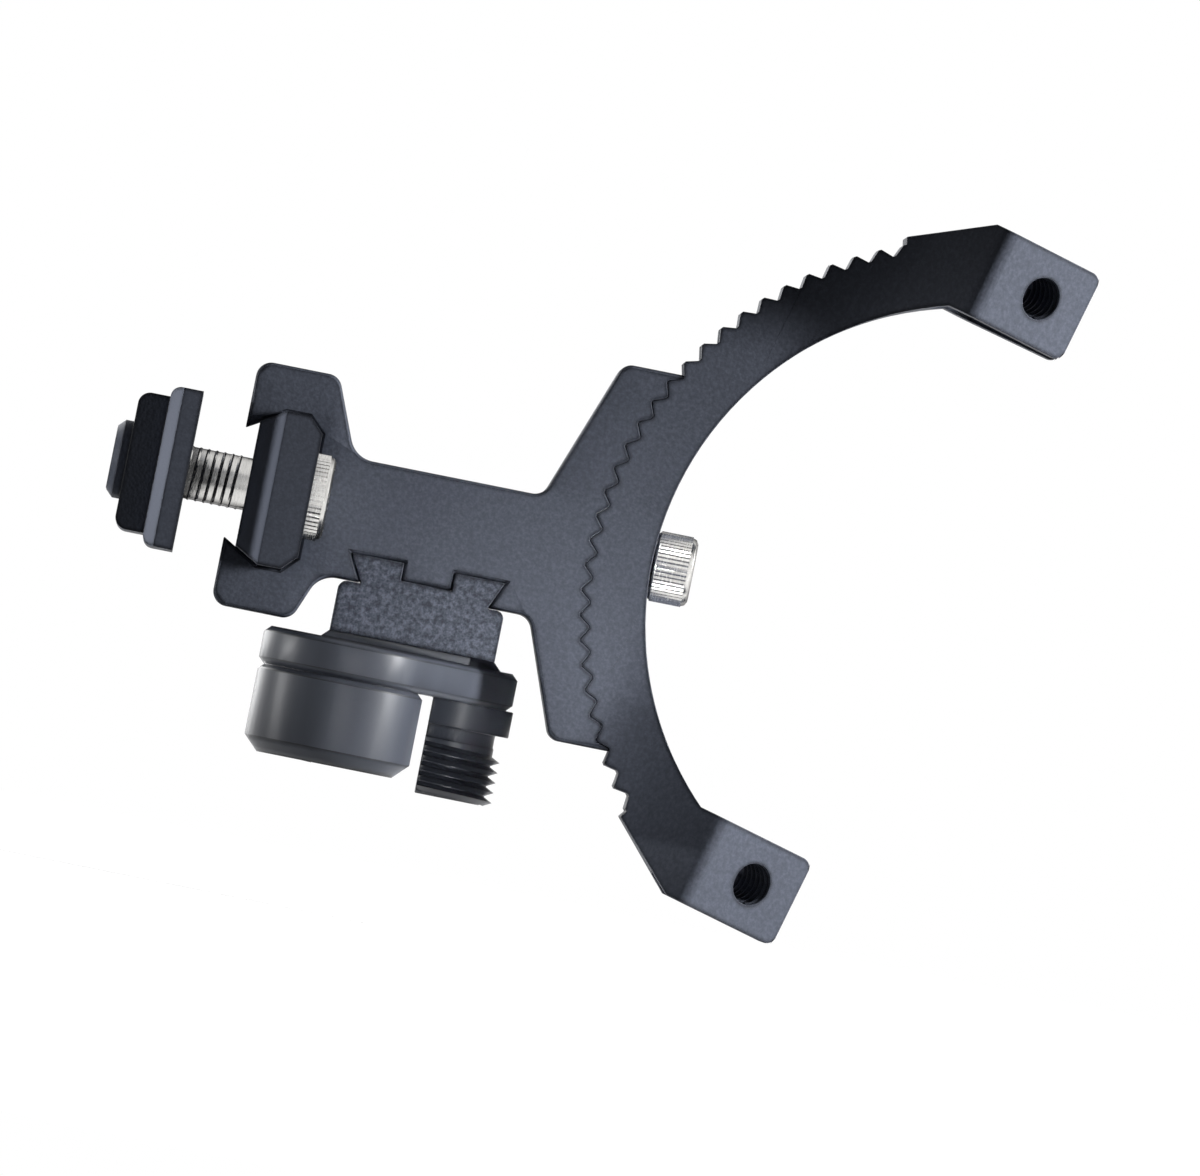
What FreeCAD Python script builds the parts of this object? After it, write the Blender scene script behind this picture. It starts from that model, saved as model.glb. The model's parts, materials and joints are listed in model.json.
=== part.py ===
import FreeCAD, Part
import math
import os

# Saddle bottle cage mount. X runs rearward, Y to the right-hand side, Z up, in millimetres.
# The origin lies midway between the two saddle rails, at the height of the clamp bolts.

Vector = FreeCAD.Vector

# saddle rails that the clamp grips
rail_radius = 3.5
rail_spacing = 44.0
rail_groove_depth = 0.5

# clamp bar, a long bar behind the rails
clamp_length = 56.0
bar_thickness = 6.2
bar_half_height = 7.6
bar_front_chamfer_x = 2.4
bar_front_chamfer_z = 1.4
bar_rear_chamfer = 1.5
bar_channel_clearance = 0.06

# clamp plate, in front of the rails
plate_thickness = 3.1
plate_half_height = 7.9
plate_rib_thickness = 3.0
plate_rib_half_height = 6.8
plate_rib_setback = 3.0
plate_end_chamfer = 1.2
plate_boss_radius = 3.8
plate_boss_height = 1.5
plate_boss_chamfer = 0.7
plate_corner_radius = 1.0
rib_corner_radius = 1.2

# clamp bolts, M5 socket head
clamp_bolt_spacing = 28.4
clamp_bolt_radius = 2.5
clamp_bolt_head_radius = 4.25
clamp_bolt_head_height = 5.0
clamp_bolt_head_proud = 1.9
clamp_bolt_end_recess = 0.5
clamp_bolt_key = 4.0
clamp_bolt_key_depth = 2.5
bolt_hole_clearance = 0.1
thread_clearance = 0.08
head_clearance = 0.3

# main body
body_width = 19.0
flange_front = 1.7
flange_tip_rear = 9.75
flange_slope = 0.4
flange_half_height = 12.15
flange_corner_radius = 1.5
neck_top = 4.55
neck_bottom = -7.3
neck_fillet_radius = 2.6
fan_root_top = 31.6
fan_root_bottom = 32.7
fan_edge_length = 6.0
fan_tooth_margin = 0.1
fan_corner_radius = 1.4
fan_root_radius = 1.6
body_edge_chamfer = 0.3

# dovetail under the neck
dovetail_front = 14.3
dovetail_rear = 29.7
dovetail_top = -4.6
dovetail_mouth_front = 15.7
dovetail_mouth_rear = 28.5
dovetail_rib_front = 19.6
dovetail_rib_rear = 24.65
dovetail_rib_bottom = -6.35
dovetail_clearance = 0.03

# toothed joint between body and bracket
tooth_face_x = 37.4
tooth_pitch_radius = 37.6
tooth_pitch_angle = 3.75
tooth_depth = 0.9
tooth_flat_share = 0.12
tooth_clearance = 0.02
body_teeth_each_side = 8
bracket_teeth_each_side = 14
bracket_rest_teeth = 4
bracket_travel_teeth = 6

# cage bracket; lengths forward of the arc centre, and to each side along the line of the cage holes
bracket_arc_thickness = 6.0
bracket_shoulder_rise = 1.2
bracket_slope_forward = 15.0
tab_width = 9.2
tab_corner_radius = 1.0
tab_bend_forward = 13.4
tab_end_forward = 3.45
flare_start_forward = 24.0
flare_half_width = 19.0
tab_bend_radius = 1.5
flare_radius = 14.0
fork_root_radius = 1.5
tab_face_angle = 35.0
tab_thickness = 5.8
fork_root_forward = 17.0
cage_hole_spacing = 64.0
cage_hole_forward = 7.9
cage_hole_radius = 2.1

# angle bolt, M4 socket head
angle_bolt_radius = 2.0
angle_bolt_head_radius = 3.5
angle_bolt_head_height = 4.0
angle_bolt_seat_gap = 0.02
angle_bolt_reach = 14.0
angle_bolt_end_gap = 1.0
angle_bolt_key = 3.0
angle_bolt_key_depth = 2.0
angle_slot_clearance = 0.3

# dovetail shoe
shoe_front = 13.7
shoe_rear = 30.15
shoe_width = 19.0
shoe_top = -7.4
shoe_bottom = -12.4
shoe_corner_radius = 0.8

# cartridge holder
slab_top = -13.2
slab_bottom = -16.9
slab_rim_chamfer = 0.6
slab_lobe_margin = 0.1
pad_inset = 0.6
pad_flare = 0.8
cup_x = 15.7
cup_spacing = 29.0
cup_radius = 8.2
cup_bottom = -25.55
cup_bevel = 1.5
socket_radius = 4.3
socket_depth = 10.0
spigot_x = 27.8
spigot_lobe_radius = 5.0
spigot_collar_radius = 5.2
spigot_collar_bottom = -19.5
spigot_waist_radius = 3.9
spigot_waist_bottom = -20.8
spigot_core_radius = 4.0
spigot_bottom = -26.5
spigot_bevel = 0.4
spigot_flat_x = 25.0

# screws that hold the moulding to the shoe, M3 with flush low heads
screw_x = 17.6
screw_spacing = 6.4
screw_radius = 1.5
screw_head_radius = 2.75
screw_length = 8.0
screw_head_depth = 1.6
screw_key = 2.0
screw_key_depth = 1.2
screw_clearance = 0.05

# lengths that follow from the sizes above
rail_side = rail_spacing / 2
bar_front = rail_radius - rail_groove_depth
bar_rear = bar_front + bar_thickness
plate_rear = -bar_front
plate_front = plate_rear - plate_thickness
rib_front = plate_front - plate_rib_thickness
boss_front = rib_front - plate_boss_height
bolt_side = clamp_bolt_spacing / 2
arc_centre_x = tooth_face_x + tooth_pitch_radius
tab_inner_side = (cage_hole_spacing - tab_width) / 2
tab_outer_side = (cage_hole_spacing + tab_width) / 2
bracket_inner_radius = tooth_pitch_radius - bracket_arc_thickness
bracket_rest_angle = bracket_rest_teeth * tooth_pitch_angle
body_half_width = body_width / 2
far = 100.0


def arc_point(radius, angle):
    """A point in the XZ plane, on a circle round the arc centre; angle 0 looks forward and positive is up."""
    turn = math.radians(angle)
    return arc_centre_x - radius * math.cos(turn), radius * math.sin(turn)


def unit(dx, dy):
    length = math.hypot(dx, dy)
    return dx / length, dy / length


def rounded_wire(corners, place):
    """A closed wire through corners (a, b, radius); place turns (a, b) into a point in space."""
    ends = []
    edges = []
    count = len(corners)
    for index, (a, b, radius) in enumerate(corners):
        if not radius:
            ends.append((place(a, b), place(a, b)))
            continue
        before = corners[index - 1]
        after = corners[(index + 1) % count]
        ua, ub = unit(before[0] - a, before[1] - b)
        va, vb = unit(after[0] - a, after[1] - b)
        half = math.acos(ua * va + ub * vb) / 2
        setback = radius / math.tan(half)
        wa, wb = unit(ua + va, ub + vb)
        reach = radius / math.sin(half) - radius
        start = place(a + ua * setback, b + ub * setback)
        middle = place(a + wa * reach, b + wb * reach)
        end = place(a + va * setback, b + vb * setback)
        edges.append(Part.Arc(start, middle, end).toShape())
        ends.append((start, end))
    for index in range(count):
        start = ends[index][1]
        end = ends[(index + 1) % count][0]
        edges.append(Part.makeLine(start, end))
    return Part.Wire(Part.__sortEdges__(edges))


def side_prism(corners, half_width):
    """A prism with a profile in the XZ plane, centred on Y."""
    wire = rounded_wire(corners, lambda x, z: Vector(x, -half_width, z))
    return Part.Face(wire).extrude(Vector(0, 2 * half_width, 0))


def plan_prism(corners, low, high):
    """A prism with a profile in the XY plane."""
    wire = rounded_wire(corners, lambda x, y: Vector(x, y, low))
    return Part.Face(wire).extrude(Vector(0, 0, high - low))


def cylinder_x(radius, x_low, x_high, y, z):
    return Part.makeCylinder(radius, x_high - x_low, Vector(x_low, y, z), Vector(1, 0, 0))


def hexagon(across_flats, start, direction, depth):
    """A hexagon key socket, sunk from start along direction."""
    circle_radius = across_flats / math.sqrt(3)
    corners = []
    for index in range(6):
        turn = math.radians(60 * index)
        corners.append(Vector(circle_radius * math.cos(turn), circle_radius * math.sin(turn), 0))
    prism = Part.Face(Part.makePolygon(corners + corners[:1])).extrude(Vector(0, 0, depth))
    prism.Placement = FreeCAD.Placement(start, FreeCAD.Rotation(Vector(0, 0, 1), direction))
    return prism


def mirrored_corners(half):
    """Corners with b of one sign, followed by their mirror images across b = 0."""
    return half + [(a, -b, radius) for a, b, radius in reversed(half)]


def tooth_line(first, last, offset):
    """The shared line of teeth from tooth first to tooth last, moved by offset along the radius."""
    low = tooth_pitch_radius - tooth_depth / 2 + offset
    high = tooth_pitch_radius + tooth_depth / 2 + offset
    flat = tooth_flat_share * tooth_pitch_angle / 2
    points = []
    for tooth in range(first, last + 1):
        angle = tooth * tooth_pitch_angle
        points.append((low, angle - flat))
        points.append((low, angle + flat))
        if tooth < last:
            gap_angle = angle + tooth_pitch_angle / 2
            points.append((high, gap_angle - flat))
            points.append((high, gap_angle + flat))
    return points


def clamp_bar_corners(front, grow):
    """Half of the bar's profile from a front face; grow makes it taller for the channel in the body."""
    half_height = bar_half_height + grow
    chamfer_end = bar_front + bar_front_chamfer_x
    front_drop = (chamfer_end - front) * bar_front_chamfer_z / bar_front_chamfer_x
    return [
        (front, half_height - front_drop, 0),
        (chamfer_end, half_height, 0),
        (bar_rear - bar_rear_chamfer, half_height, 0),
        (bar_rear, half_height - bar_rear_chamfer, 0),
    ]


def make_clamp_bar():
    half_length = clamp_length / 2
    bar = side_prism(mirrored_corners(clamp_bar_corners(bar_front, 0)), half_length)
    plan = [
        (bar_front, half_length - bar_front_chamfer_z, 0),
        (bar_front + bar_front_chamfer_x, half_length, 0),
        (bar_rear, half_length, 0),
    ]
    bar = bar.common(plan_prism(mirrored_corners(plan), -far, far))
    seat = bar_rear + clamp_bolt_head_proud - clamp_bolt_head_height
    for side in (-1, 1):
        bar = bar.cut(rail(side))
        hole_radius = clamp_bolt_radius + bolt_hole_clearance
        bar = bar.cut(cylinder_x(hole_radius, bar_front - 1, seat, side * bolt_side, 0))
        bar = bar.cut(cylinder_x(clamp_bolt_head_radius + head_clearance, seat, bar_rear + 1, side * bolt_side, 0))
    return bar


def rail(side):
    """The space of one saddle rail."""
    return Part.makeCylinder(rail_radius, 2 * far, Vector(0, side * rail_side, -far))


def make_clamp_plate():
    half_length = clamp_length / 2
    profile = [(plate_front, plate_half_height, plate_corner_radius), (plate_rear, plate_half_height, 0)]
    plan = [
        (plate_front, half_length - plate_end_chamfer, 0),
        (plate_front + plate_end_chamfer, half_length, 0),
        (plate_rear, half_length, 0),
    ]
    plate = side_prism(mirrored_corners(profile), half_length)
    plate = plate.common(plan_prism(mirrored_corners(plan), -far, far))
    rib = [(rib_front, plate_rib_half_height, rib_corner_radius), (plate_rear, plate_rib_half_height, 0)]
    plate = plate.fuse(side_prism(mirrored_corners(rib), half_length - plate_rib_setback))
    for side in (-1, 1):
        boss = cylinder_x(plate_boss_radius, boss_front, plate_front, side * bolt_side, 0)
        front_rim = min(boss.Edges, key=lambda edge: edge.BoundBox.XMax)
        plate = plate.fuse(boss.makeChamfer(plate_boss_chamfer, [front_rim]))
    plate = plate.removeSplitter()
    for side in (-1, 1):
        plate = plate.cut(rail(side))
        hole_radius = clamp_bolt_radius + thread_clearance
        plate = plate.cut(cylinder_x(hole_radius, boss_front - 1, plate_rear + 1, side * bolt_side, 0))
    return plate


def make_clamp_bolt(side):
    y = side * bolt_side
    top = bar_rear + clamp_bolt_head_proud
    seat = top - clamp_bolt_head_height
    head = cylinder_x(clamp_bolt_head_radius, seat, top, y, 0)
    shank = cylinder_x(clamp_bolt_radius, boss_front + clamp_bolt_end_recess, seat, y, 0)
    bolt = head.fuse(shank).removeSplitter()
    return bolt.cut(hexagon(clamp_bolt_key, Vector(top, y, 0), Vector(-1, 0, 0), clamp_bolt_key_depth))


def dovetail_corners(shrink):
    """The prongs' profile above the mouth; shrink leaves the sliding clearance."""
    return [
        (dovetail_mouth_front + shrink, neck_bottom, 0),
        (dovetail_front + shrink, dovetail_top - shrink, 0),
        (dovetail_rib_front - shrink, dovetail_top - shrink, 0),
        (dovetail_rib_front - shrink, dovetail_rib_bottom - shrink, 0),
        (dovetail_rib_rear + shrink, dovetail_rib_bottom - shrink, 0),
        (dovetail_rib_rear + shrink, dovetail_top - shrink, 0),
        (dovetail_rear - shrink, dovetail_top - shrink, 0),
        (dovetail_mouth_rear - shrink, neck_bottom, 0),
    ]


def flange_rear_at(z):
    """Where the sloping rear of the T flange stands at a height."""
    return flange_tip_rear + (flange_half_height - abs(z)) * flange_slope


def make_main_body():
    teeth = []
    for radius, angle in reversed(tooth_line(-body_teeth_each_side, body_teeth_each_side, 0)):
        x, z = arc_point(radius, angle)
        teeth.append((x, z, 0))
    fan_end_x = teeth[0][0]
    fan_corner_x = fan_end_x - fan_edge_length
    fan_corner_z = teeth[0][1] + fan_tooth_margin
    corners = [
        (flange_front, flange_half_height, flange_corner_radius),
        (flange_tip_rear, flange_half_height, flange_corner_radius),
        (flange_rear_at(neck_top), neck_top, neck_fillet_radius),
        (fan_root_top, neck_top, fan_root_radius),
        (fan_corner_x, fan_corner_z, fan_corner_radius),
        (fan_end_x, fan_corner_z, 0),
    ]
    corners += teeth
    corners += [
        (fan_end_x, -fan_corner_z, 0),
        (fan_corner_x, -fan_corner_z, fan_corner_radius),
        (fan_root_bottom, neck_bottom, fan_root_radius),
        (flange_rear_at(neck_bottom), neck_bottom, neck_fillet_radius),
        (flange_tip_rear, -flange_half_height, flange_corner_radius),
        (flange_front, -flange_half_height, flange_corner_radius),
    ]
    body = side_prism(corners, body_half_width)
    channel = clamp_bar_corners(0, bar_channel_clearance)
    body = body.cut(side_prism(mirrored_corners(channel), far))
    body = body.cut(side_prism(dovetail_corners(0), far))
    hole_radius = angle_bolt_radius + thread_clearance
    body = body.cut(cylinder_x(hole_radius, tooth_face_x - angle_bolt_reach, arc_centre_x, 0, 0))
    outline = []
    for edge in body.Edges:
        box = edge.BoundBox
        on_side = box.YLength < 0.01 and abs(abs(box.YMin) - body_half_width) < 0.01
        from_teeth = math.hypot(box.Center.x - arc_centre_x, box.Center.z) - tooth_pitch_radius
        if on_side and from_teeth > tooth_depth:
            outline.append(edge)
    return body.makeChamfer(body_edge_chamfer, outline)


def make_cage_bracket():
    """The bracket, built level with the body and then turned to its resting tooth."""
    outline = []
    last_angle = (bracket_teeth_each_side + 0.5 + tooth_flat_share) * tooth_pitch_angle
    count = bracket_teeth_each_side + 1
    for radius, angle in tooth_line(-count, count, -tooth_clearance):
        if abs(angle) < last_angle:
            x, z = arc_point(radius, angle)
            outline.append((x, z, 0))
    inner_forward = math.sqrt(bracket_inner_radius ** 2 - tab_inner_side ** 2)
    shoulder_x, shoulder_z = arc_point(tooth_pitch_radius + bracket_shoulder_rise, last_angle)
    upper = [
        (shoulder_x, shoulder_z, 0),
        (arc_centre_x - bracket_slope_forward, tab_outer_side, 0),
        (arc_centre_x - tab_end_forward, tab_outer_side, tab_corner_radius),
        (arc_centre_x - tab_end_forward, tab_inner_side, tab_corner_radius),
        (arc_centre_x - inner_forward, tab_inner_side, 0),
    ]
    bracket = side_prism(outline + mirrored_corners(upper), far)
    hollow = Part.makeCylinder(bracket_inner_radius, 2 * far, Vector(arc_centre_x, -far, 0), Vector(0, 1, 0))
    inside = Part.makeBox(2 * far, 2 * far, 2 * tab_inner_side, Vector(0, -far, -tab_inner_side))
    bracket = bracket.cut(hollow.common(inside))
    bracket = bracket.common(plan_prism(fork_corners(), -far, far))
    bracket = bracket.cut(make_angle_slot())
    for side in (-1, 1):
        for end in (-1, 1):
            bracket = bracket.cut(make_cage_hole(side, end))
    bracket.rotate(Vector(arc_centre_x, 0, 0), Vector(0, 1, 0), bracket_rest_angle)
    return bracket


def tab_face_y(forward):
    """How far a tab's outer face stands from the middle plane."""
    return flare_half_width - (tab_bend_forward - forward) * math.tan(math.radians(tab_face_angle))


def fork_corners():
    """The bracket seen from above: flat sides, a flare, and tabs that lean back in."""
    flare_slope = (flare_half_width - body_half_width) / (flare_start_forward - tab_bend_forward)
    tab_slope = math.tan(math.radians(tab_face_angle))
    flare_wall = tab_thickness * math.hypot(1, flare_slope)
    tab_wall = tab_thickness * math.hypot(1, tab_slope)
    inner_bend = tab_bend_forward - (flare_wall - tab_wall) / (flare_slope + tab_slope)
    inner_flare_y = body_half_width + (flare_start_forward - fork_root_forward) * flare_slope - flare_wall
    half = [
        (0, body_half_width, 0),
        (arc_centre_x - flare_start_forward, body_half_width, flare_radius),
        (arc_centre_x - tab_bend_forward, flare_half_width, tab_bend_radius),
        (arc_centre_x - tab_end_forward, tab_face_y(tab_end_forward), 0),
        (arc_centre_x - tab_end_forward, tab_face_y(tab_end_forward) - tab_wall, 0),
        (arc_centre_x - inner_bend, tab_face_y(inner_bend) - tab_wall, 0),
        (arc_centre_x - fork_root_forward, inner_flare_y, fork_root_radius),
    ]
    return mirrored_corners(half)


def make_angle_slot():
    """The slot that lets the bracket turn about the arc centre past the angle bolt."""
    radius = angle_bolt_radius + angle_slot_clearance
    travel = bracket_travel_teeth * tooth_pitch_angle
    reach = 2 * tooth_pitch_radius
    corners = [(arc_centre_x, 0, 0)]
    for angle in (travel, 0, -travel):
        x, z = arc_point(reach, angle)
        corners.append((x, z, 0))
    slot = side_prism(corners, radius)
    for angle in (travel, -travel):
        x, z = arc_point(reach, angle)
        direction = Vector(x - arc_centre_x, 0, z)
        slot = slot.fuse(Part.makeCylinder(radius, reach, Vector(arc_centre_x, 0, 0), direction))
    return slot


def make_cage_hole(side, end):
    """A threaded hole square to a tab's face."""
    lean = math.radians(tab_face_angle)
    outward = Vector(math.sin(lean), side * math.cos(lean), 0)
    y = side * tab_face_y(cage_hole_forward)
    mouth = Vector(arc_centre_x - cage_hole_forward, y, end * cage_hole_spacing / 2)
    return Part.makeCylinder(cage_hole_radius, 1.5 * tab_thickness, mouth, -outward)


def make_angle_bolt():
    seat_radius = math.sqrt(bracket_inner_radius ** 2 - angle_bolt_head_radius ** 2)
    seat = arc_centre_x - seat_radius + angle_bolt_seat_gap
    top = seat + angle_bolt_head_height
    head = cylinder_x(angle_bolt_head_radius, seat, top, 0, 0)
    tip = tooth_face_x - angle_bolt_reach + angle_bolt_end_gap
    shank = cylinder_x(angle_bolt_radius, tip, seat, 0, 0)
    bolt = head.fuse(shank).removeSplitter()
    return bolt.cut(hexagon(angle_bolt_key, Vector(top, 0, 0), Vector(-1, 0, 0), angle_bolt_key_depth))


def make_holder_shoe():
    prongs = dovetail_corners(dovetail_clearance)
    corners = [
        (shoe_front, shoe_bottom, 0),
        (shoe_front, shoe_top, shoe_corner_radius),
        (prongs[0][0], shoe_top, 0),
    ]
    corners += prongs
    corners += [
        (prongs[-1][0], shoe_top, 0),
        (shoe_rear, shoe_top, shoe_corner_radius),
        (shoe_rear, shoe_bottom, 0),
    ]
    shoe = side_prism(corners, shoe_width / 2)
    for side in (-1, 1):
        shoe = shoe.cut(screw_shape(side, screw_clearance))
    return shoe


def screw_shape(side, grow):
    """A screw with a low head, or with grow the stepped hole that takes it."""
    y = side * screw_spacing / 2
    base = Vector(screw_x, y, slab_bottom)
    shank = Part.makeCylinder(screw_radius + grow, screw_length + grow, base)
    head = Part.makeCylinder(screw_head_radius + grow, screw_head_depth, base)
    return shank.fuse(head).removeSplitter()


def make_holder_screw(side):
    base = Vector(screw_x, side * screw_spacing / 2, slab_bottom)
    return screw_shape(side, 0).cut(hexagon(screw_key, base, Vector(0, 0, 1), screw_key_depth))


def hull_face(circles, z):
    """The face inside a taut band round circles (x, y, radius), which are listed anticlockwise."""
    tangents = []
    for index, (x, y, radius) in enumerate(circles):
        next_x, next_y, next_radius = circles[(index + 1) % len(circles)]
        length = math.hypot(next_x - x, next_y - y)
        ux, uy = unit(next_x - x, next_y - y)
        lean = (radius - next_radius) / length
        across = math.sqrt(1 - lean ** 2)
        nx, ny = ux * lean + uy * across, uy * lean - ux * across
        tangents.append((nx, ny))
    edges = []
    for index, (x, y, radius) in enumerate(circles):
        before = tangents[index - 1]
        after = tangents[index]
        middle = unit(before[0] + after[0], before[1] + after[1])
        points = [Vector(x + radius * nx, y + radius * ny, z) for nx, ny in (before, middle, after)]
        edges.append(Part.Arc(*points).toShape())
        next_x, next_y, next_radius = circles[(index + 1) % len(circles)]
        next_point = Vector(next_x + next_radius * after[0], next_y + next_radius * after[1], z)
        edges.append(Part.makeLine(points[2], next_point))
    return Part.Face(Part.Wire(Part.__sortEdges__(edges)))


def turned(profile, x, y):
    """A solid of revolution about a vertical axis, from (radius, z) points."""
    points = [Vector(x + radius, y, z) for radius, z in profile]
    face = Part.Face(Part.makePolygon(points + points[:1]))
    return face.revolve(Vector(x, y, 0), Vector(0, 0, 1), 360)


def make_cartridge_holder():
    lobe = cup_radius + slab_lobe_margin
    cup_y = cup_spacing / 2
    circles = [(cup_x, -cup_y, lobe), (spigot_x, 0, spigot_lobe_radius), (cup_x, cup_y, lobe)]
    slab = hull_face(circles, slab_bottom).extrude(Vector(0, 0, slab_top - slab_bottom))
    rims = [edge for edge in slab.Edges if edge.BoundBox.ZLength < 0.01]
    holder = slab.makeChamfer(slab_rim_chamfer, rims)
    holder = holder.fuse(make_pad(circles))
    cup = [
        (0, slab_bottom + slab_rim_chamfer),
        (cup_radius - slab_rim_chamfer, slab_bottom + slab_rim_chamfer),
        (cup_radius - slab_rim_chamfer, slab_bottom),
        (cup_radius, slab_bottom - slab_rim_chamfer),
        (cup_radius, cup_bottom + cup_bevel),
        (cup_radius - cup_bevel, cup_bottom),
        (0, cup_bottom),
    ]
    spigot = [
        (0, slab_bottom + slab_rim_chamfer),
        (spigot_waist_radius, slab_bottom + slab_rim_chamfer),
        (spigot_waist_radius, slab_bottom),
        (spigot_collar_radius, slab_bottom),
        (spigot_collar_radius, spigot_collar_bottom),
        (spigot_waist_radius, spigot_collar_bottom),
        (spigot_waist_radius, spigot_waist_bottom),
        (spigot_core_radius, spigot_waist_bottom),
        (spigot_core_radius, spigot_bottom + spigot_bevel),
        (spigot_core_radius - spigot_bevel, spigot_bottom),
        (0, spigot_bottom),
    ]
    stub = turned(spigot, spigot_x, 0)
    flat = Part.makeBox(far, 2 * far, slab_bottom - spigot_bottom + 1)
    flat.translate(Vector(spigot_flat_x - far, -far, spigot_bottom - 1))
    holder = holder.fuse(stub.cut(flat))
    for side in (-1, 1):
        holder = holder.fuse(turned(cup, cup_x, side * cup_y))
    holder = holder.removeSplitter()
    for side in (-1, 1):
        socket_base = Vector(cup_x, side * cup_y, cup_bottom)
        holder = holder.cut(Part.makeCylinder(socket_radius, socket_depth, socket_base))
        holder = holder.cut(screw_shape(side, screw_clearance))
    return holder


def make_pad(circles):
    """The raised pad on the slab that carries the shoe, spread a little at its foot."""
    foot = slab_top - slab_rim_chamfer
    corners = [
        (shoe_front - pad_flare, foot, 0),
        (shoe_front - pad_flare, slab_top, 0),
        (shoe_front, shoe_bottom, 0),
        (shoe_rear, shoe_bottom, 0),
        (shoe_rear + pad_flare, slab_top, 0),
        (shoe_rear + pad_flare, foot, 0),
    ]
    pad = side_prism(corners, shoe_width / 2 - pad_inset)
    inner = [(x, y, radius - slab_rim_chamfer) for x, y, radius in circles]
    return pad.common(hull_face(inner, foot).extrude(Vector(0, 0, shoe_bottom - foot)))


def export(name, shape):
    solids = shape.Solids
    if len(solids) != 1 or not shape.isValid():
        raise ValueError("%s is not one valid solid: %d solids" % (name, len(solids)))
    solids[0].exportStep(os.path.join("parts", name + ".step"))


os.makedirs("parts", exist_ok=True)
export("main_body", make_main_body())
export("clamp_bar", make_clamp_bar())
export("clamp_plate", make_clamp_plate())
export("clamp_bolt_left", make_clamp_bolt(-1))
export("clamp_bolt_right", make_clamp_bolt(1))
export("cage_bracket", make_cage_bracket())
export("angle_bolt", make_angle_bolt())
export("holder_shoe", make_holder_shoe())
export("cartridge_holder", make_cartridge_holder())
export("holder_screw_left", make_holder_screw(-1))
export("holder_screw_right", make_holder_screw(1))
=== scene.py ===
"""Looks for the saddle bottle cage mount: finishes, screw detail and the studio stage."""

import json
import math

import bmesh
import bpy
from mathutils import Matrix, Vector


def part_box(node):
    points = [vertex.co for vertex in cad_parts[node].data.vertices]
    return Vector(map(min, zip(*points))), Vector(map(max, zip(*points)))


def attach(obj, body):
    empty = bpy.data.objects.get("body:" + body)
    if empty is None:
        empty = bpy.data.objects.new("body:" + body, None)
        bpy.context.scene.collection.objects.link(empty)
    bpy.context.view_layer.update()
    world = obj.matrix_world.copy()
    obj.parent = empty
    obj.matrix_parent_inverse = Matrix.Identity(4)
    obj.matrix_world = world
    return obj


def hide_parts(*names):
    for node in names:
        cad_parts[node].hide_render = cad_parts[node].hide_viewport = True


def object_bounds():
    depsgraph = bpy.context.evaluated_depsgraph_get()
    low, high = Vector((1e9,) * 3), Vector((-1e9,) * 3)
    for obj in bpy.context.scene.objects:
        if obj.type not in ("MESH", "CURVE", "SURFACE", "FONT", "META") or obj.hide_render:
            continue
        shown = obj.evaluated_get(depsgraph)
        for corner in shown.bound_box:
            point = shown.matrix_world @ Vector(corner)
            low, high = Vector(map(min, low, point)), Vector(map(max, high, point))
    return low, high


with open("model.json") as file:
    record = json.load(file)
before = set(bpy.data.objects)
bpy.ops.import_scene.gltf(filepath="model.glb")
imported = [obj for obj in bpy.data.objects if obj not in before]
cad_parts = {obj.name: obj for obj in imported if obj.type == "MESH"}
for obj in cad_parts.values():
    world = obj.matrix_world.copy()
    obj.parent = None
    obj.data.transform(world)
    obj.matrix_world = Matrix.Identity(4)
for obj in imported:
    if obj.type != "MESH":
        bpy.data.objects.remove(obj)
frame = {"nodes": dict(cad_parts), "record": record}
cad_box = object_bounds()

bl_info = {
    "name": "Saddle bottle cage mount",
    "version": (1, 0, 0),
    "blender": (4, 5, 0),
    "location": "View3D > Sidebar > Mount",
    "description": "Dresses the packed bottle cage mount and its studio stage",
    "category": "Object",
}

# Lengths are in metres unless a name says otherwise.
MILLI = 0.001

# The inflator spigot, which has one flat.
SPIGOT_X = 27.8 * MILLI
SPIGOT_FLAT_X = 25.0 * MILLI
SPIGOT_CORE_RADIUS = 4.0 * MILLI
SPIGOT_THREAD_LENGTH = 4.9 * MILLI
SPIGOT_THREAD_START = 0.45 * MILLI
SPIGOT_FLAT_CLEAR = 0.02 * MILLI

# Broken edges, and which faces share a normal.
SHARP_ANGLE = math.radians(30)
BEVEL_ANGLE = math.radians(50)
BEVEL_SEGMENTS = 2
WELD_DISTANCE = 1e-6
SAME_FLAT = math.cos(math.radians(0.3))
SLIGHT_BEND = math.cos(SHARP_ANGLE)
EVEN_FACES = 100
BRACKET_EVEN_FACES = 50

# Finishes. An alignment is the cosine between the true and the rounded normal; a shade is a
# share of the base colour. The edge shades are painted shade along sharp edges, and the
# chamfer highlight is a painted highlight on the clamp's end chamfers.
BEVEL_NODE_SAMPLES = 6
FACE_ALIGNMENT = 0.995
EDGE_ALIGNMENT = 0.85
METAL_EDGE_WIDTH = 0.8 * MILLI
METAL_EDGE_PAINTED_SHADE = 0.12
MOULDED_EDGE_WIDTH = 0.4 * MILLI
MOULDED_EDGE_PAINTED_SHADE = 0.3
# The clamp's end chamfers get a painted highlight, a paler copy of the black standing for light
# reflected from the saddle rails.
CHAMFER_REACH = 25.5 * MILLI
CHAMFER_FORWARD = -0.35
CHAMFER_SIDEWAYS = 0.3
CHAMFER_PAINTED_HIGHLIGHT = 2.2
DARK_SCREW = (0.05, 0.05, 0.055, 1.0)

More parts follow.
